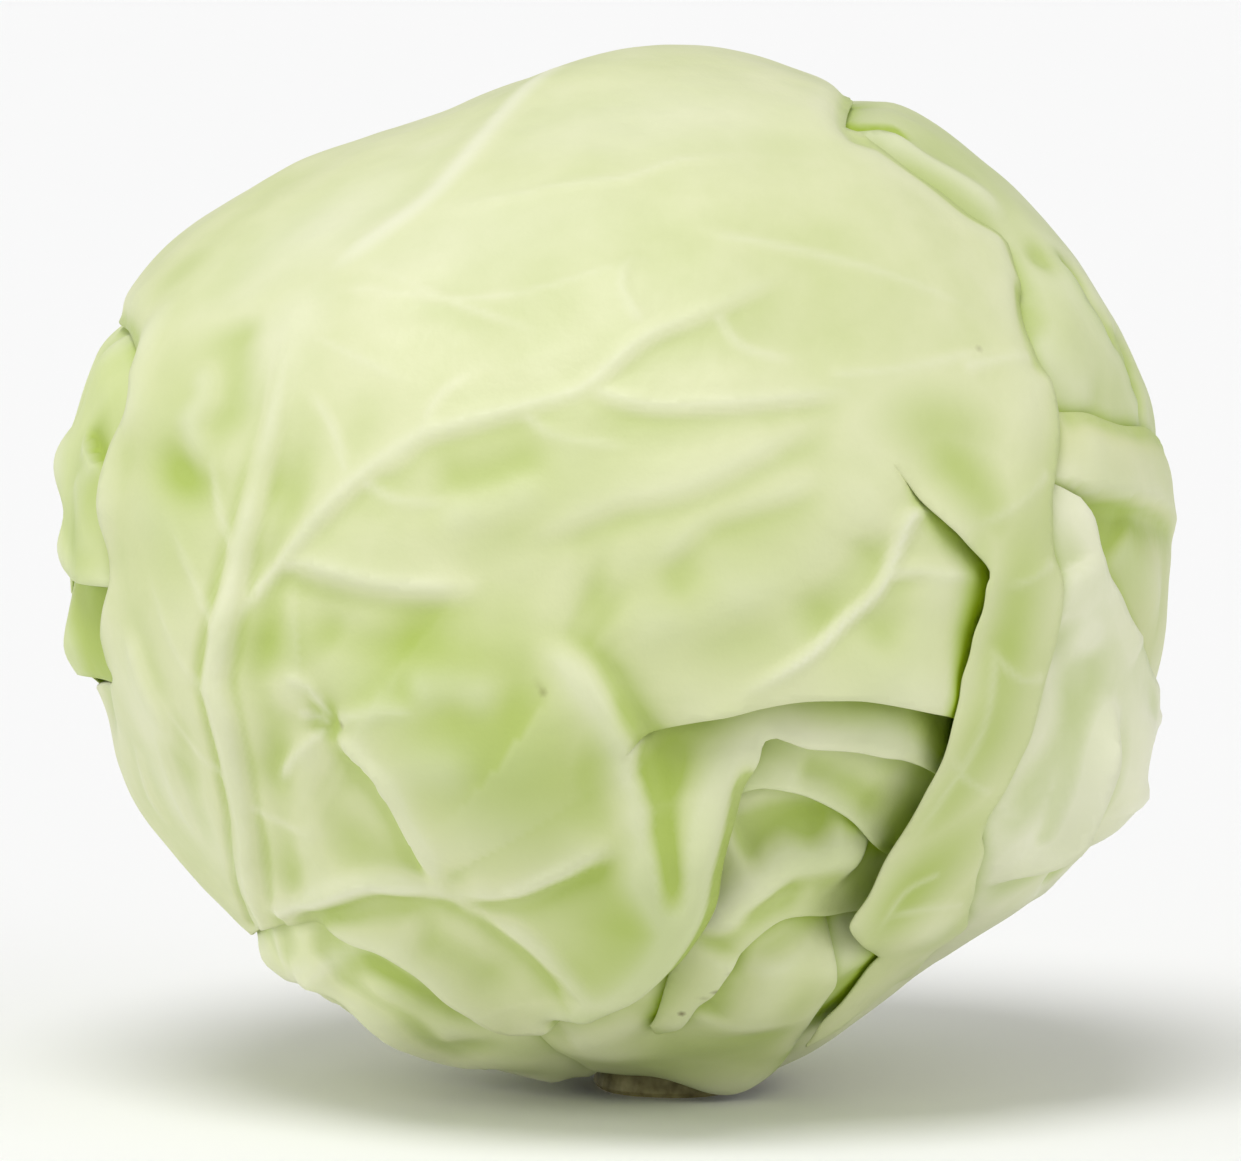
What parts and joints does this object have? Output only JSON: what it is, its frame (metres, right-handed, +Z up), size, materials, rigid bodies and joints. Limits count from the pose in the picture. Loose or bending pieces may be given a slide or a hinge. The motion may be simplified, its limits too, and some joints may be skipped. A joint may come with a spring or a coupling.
{
  "type": "cabbage head",
  "caption": "Head of white cabbage: a dense round heart on a short cut stem, wrapped in large veined outer leaves with folded and pleated margins",
  "frame": {"origin": "middle of the footprint at the height of the stem's flat cut face, on which the head rests", "axes": "+Z up out of the stem, the front of the head with the wrapper leaf's folds looks along -Y, +X to the right seen from the front, along the widest extent"},
  "size_m": [0.1984, 0.179, 0.1851],
  "materials": {
    "heart": "smooth waxy leaf",
    "leaf_back_left": "smooth waxy leaf",
    "leaf_back_right": "smooth waxy leaf",
    "leaf_bottom_left": "smooth waxy leaf",
    "leaf_front": "smooth waxy leaf",
    "leaf_left": "smooth waxy leaf",
    "leaf_left_low": "smooth waxy leaf",
    "leaf_pleat_bottom": "smooth waxy leaf",
    "leaf_pleat_lower": "smooth waxy leaf",
    "leaf_pleat_upper": "smooth waxy leaf",
    "leaf_right": "smooth waxy leaf",
    "leaf_right_ear": "smooth waxy leaf",
    "leaf_top_right": "smooth waxy leaf",
    "stem": "fibrous cut stump"
  },
  "bodies": {
    "root": {"heart": "heart", "leaf_back_left": "leaf_back_left", "leaf_back_right": "leaf_back_right", "leaf_bottom_left": "leaf_bottom_left", "leaf_front": "leaf_front", "leaf_left": "leaf_left", "leaf_left_low": "leaf_left_low", "leaf_pleat_bottom": "leaf_pleat_bottom", "leaf_pleat_lower": "leaf_pleat_lower", "leaf_pleat_upper": "leaf_pleat_upper", "leaf_right": "leaf_right", "leaf_right_ear": "leaf_right_ear", "leaf_top_right": "leaf_top_right", "stem": "stem"}
  },
  "joints": []
}
